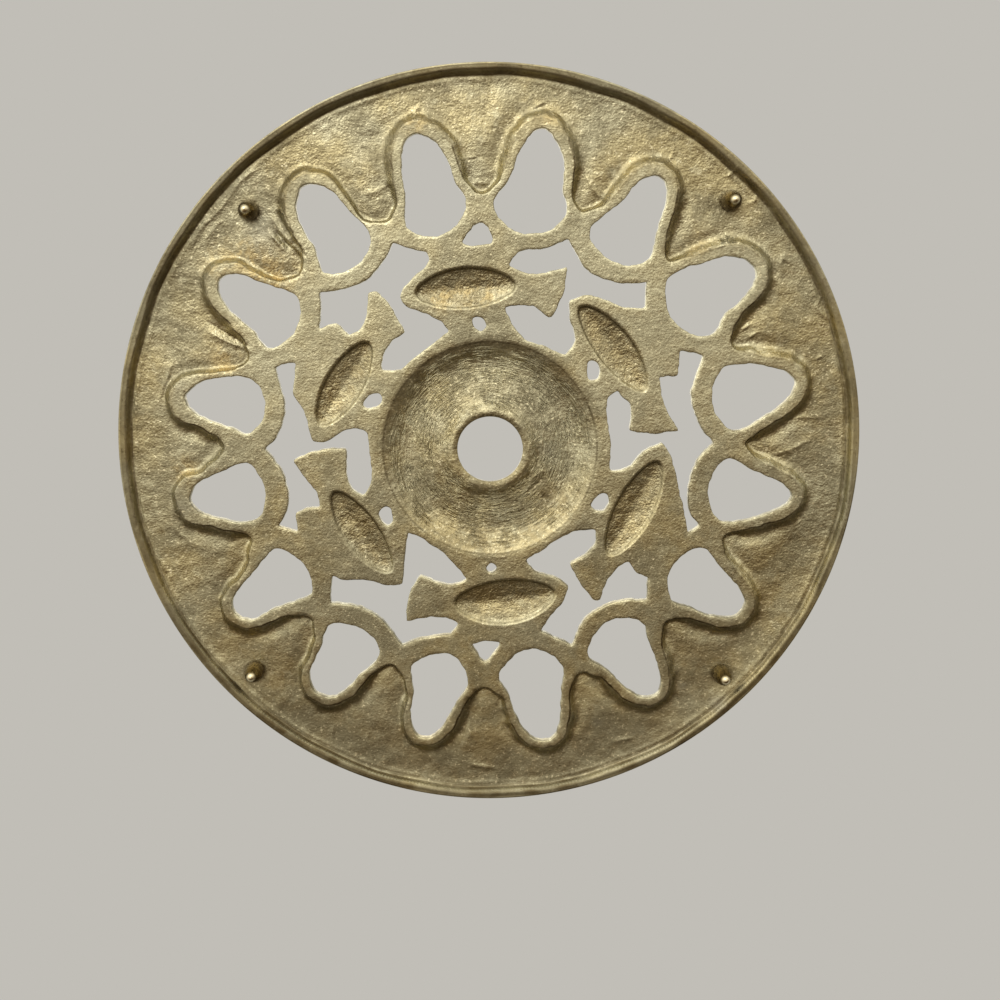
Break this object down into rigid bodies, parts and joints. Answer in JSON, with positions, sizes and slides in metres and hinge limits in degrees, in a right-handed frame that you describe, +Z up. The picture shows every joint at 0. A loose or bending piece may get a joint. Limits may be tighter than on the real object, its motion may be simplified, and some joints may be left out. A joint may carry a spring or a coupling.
{
  "type": "footed trivet",
  "caption": "Round sand-cast brass trivet with petal-shaped piercings, a ring of fish round a dished hub, and short peg feet.",
  "frame": {"origin": "on the table under the hub's axis, level with the tips of the feet", "axes": "+Z up, towards the side that carries the pot; seen from below, +X runs to the right and +Y runs down"},
  "size_m": [0.19, 0.19, 0.01],
  "materials": {
    "cast_brass": "sand-cast, tarnished",
    "turned_brass": "turned, darkened, semi-gloss"
  },
  "bodies": {
    "root": {"cast_plate": "cast_brass", "foot_upper_left": "turned_brass", "foot_upper_right": "turned_brass", "foot_lower_left": "turned_brass", "foot_lower_right": "turned_brass"}
  },
  "joints": []
}
